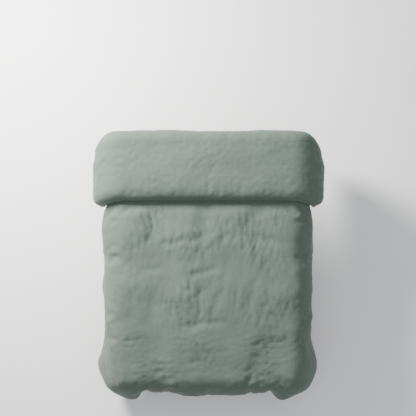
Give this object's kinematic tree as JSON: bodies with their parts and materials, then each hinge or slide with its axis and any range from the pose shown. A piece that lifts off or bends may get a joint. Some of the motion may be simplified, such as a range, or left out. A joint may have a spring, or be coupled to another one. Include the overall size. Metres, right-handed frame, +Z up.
{
  "type": "duvet",
  "caption": "Twin-size duvet in a linen cover lying on a bed, head end turned back, sides and foot draped, with stitched filling pockets and a buttoned foot.",
  "frame": {"origin": "centre of the flat underside that rests on the mattress, midway between the fold line at the head and the foot edge of the mattress's flat top", "axes": "+Y towards the head of the bed, +Z up, +X across the bed, to the right seen from above with the head at the top"},
  "size_m": [1.2464, 1.4499, 0.6177],
  "materials": {
    "linen": "stonewashed linen weave, grey-green",
    "linen_reverse": "stonewashed linen weave, grey-green",
    "filling": "quilted white insert, fine cotton over loose fibre",
    "placket": "double-turned linen hem band",
    "button": "horn-like, satin",
    "ribbon": "woven cotton tape"
  },
  "bodies": {
    "duvet": {"cover_top_panel": "linen", "cover_back_panel": "linen_reverse", "filling_row_2_left_3": "filling", "filling_row_2_left_2": "filling", "filling_row_2_left_1": "filling", "filling_row_2_right_1": "filling", "filling_row_2_right_2": "filling", "filling_row_2_right_3": "filling", "filling_row_3_left_3": "filling", "filling_row_3_left_2": "filling", "filling_row_3_left_1": "filling", "filling_row_3_right_1": "filling", "filling_row_3_right_2": "filling", "filling_row_3_right_3": "filling", "filling_row_4_left_3": "filling", "filling_row_4_left_2": "filling", "filling_row_4_left_1": "filling", "filling_row_4_right_1": "filling", "filling_row_4_right_2": "filling", "filling_row_4_right_3": "filling", "filling_row_5_left_3": "filling", "filling_row_5_left_2": "filling", "filling_row_5_left_1": "filling", "filling_row_5_right_1": "filling", "filling_row_5_right_2": "filling", "filling_row_5_right_3": "filling", "filling_row_6_left_3": "filling", "filling_row_6_left_2": "filling", "filling_row_6_left_1": "filling", "filling_row_6_right_1": "filling", "filling_row_6_right_2": "filling", "filling_row_6_right_3": "filling", "bend_filling": "filling", "bend_back_panel": "linen_reverse", "placket_outer_band": "placket", "placket_buttonhole_band": "placket", "corner_tie_foot_left": "ribbon", "corner_tie_foot_right": "ribbon"},
    "turned": {"turned_top_panel": "linen", "turned_back_panel": "linen_reverse", "turned_filling_left_1": "filling", "turned_filling_left_2": "filling", "turned_filling_right_1": "filling", "turned_filling_right_2": "filling"},
    "turned_left": {"turned_left_top_panel": "linen", "turned_left_back_panel": "linen_reverse", "turned_filling_left_shoulder": "filling", "turned_filling_left_3": "filling", "corner_tie_head_left": "ribbon"},
    "turned_right": {"turned_right_top_panel": "linen", "turned_right_back_panel": "linen_reverse", "turned_filling_right_shoulder": "filling", "turned_filling_right_3": "filling", "corner_tie_head_right": "ribbon"},
    "button_1": {"button_1": "button"},
    "button_2": {"button_2": "button"},
    "button_3": {"button_3": "button"},
    "button_4": {"button_4": "button"},
    "button_5": {"button_5": "button"}
  },
  "joints": [
    {"name": "turn_back_fold", "type": "hinge", "parent": "duvet", "child": "turned", "pos_m": [0, 0.6215, 0.06075], "axis": [-1, 0, 0], "range_deg": [0, 180], "deforming": ["bend_filling", "bend_back_panel"]},
    {"name": "turned_left_lay", "type": "hinge", "parent": "turned", "child": "turned_left", "pos_m": [-0.55575, 0.4655, 0.06075], "axis": [0, 1, 0], "range_deg": [0, 180], "deforming": ["turned_left_top_panel", "turned_left_back_panel", "turned_filling_left_shoulder"]},
    {"name": "turned_right_lay", "type": "hinge", "parent": "turned", "child": "turned_right", "pos_m": [0.55575, 0.4655, 0.06075], "axis": [0, -1, 0], "range_deg": [0, 180], "deforming": ["turned_right_top_panel", "turned_right_back_panel", "turned_filling_right_shoulder"]},
    {"name": "button_1_tilt", "type": "hinge", "parent": "duvet", "child": "button_1", "pos_m": [-0.38, -0.713, -0.35764], "axis": [1, 0, 0], "range_deg": [-12, 12]},
    {"name": "button_2_tilt", "type": "hinge", "parent": "duvet", "child": "button_2", "pos_m": [-0.19, -0.713, -0.35764], "axis": [1, 0, 0], "range_deg": [-12, 12]},
    {"name": "button_3_tilt", "type": "hinge", "parent": "duvet", "child": "button_3", "pos_m": [0, -0.713, -0.35764], "axis": [1, 0, 0], "range_deg": [-12, 12]},
    {"name": "button_4_tilt", "type": "hinge", "parent": "duvet", "child": "button_4", "pos_m": [0.19, -0.713, -0.35764], "axis": [1, 0, 0], "range_deg": [-12, 12]},
    {"name": "button_5_tilt", "type": "hinge", "parent": "duvet", "child": "button_5", "pos_m": [0.38, -0.713, -0.35764], "axis": [1, 0, 0], "range_deg": [-12, 12]}
  ],
  "couplings": [
    {"joint": "turned_left_lay", "follows": "turn_back_fold", "ratio": 1},
    {"joint": "turned_right_lay", "follows": "turn_back_fold", "ratio": 1}
  ]
}
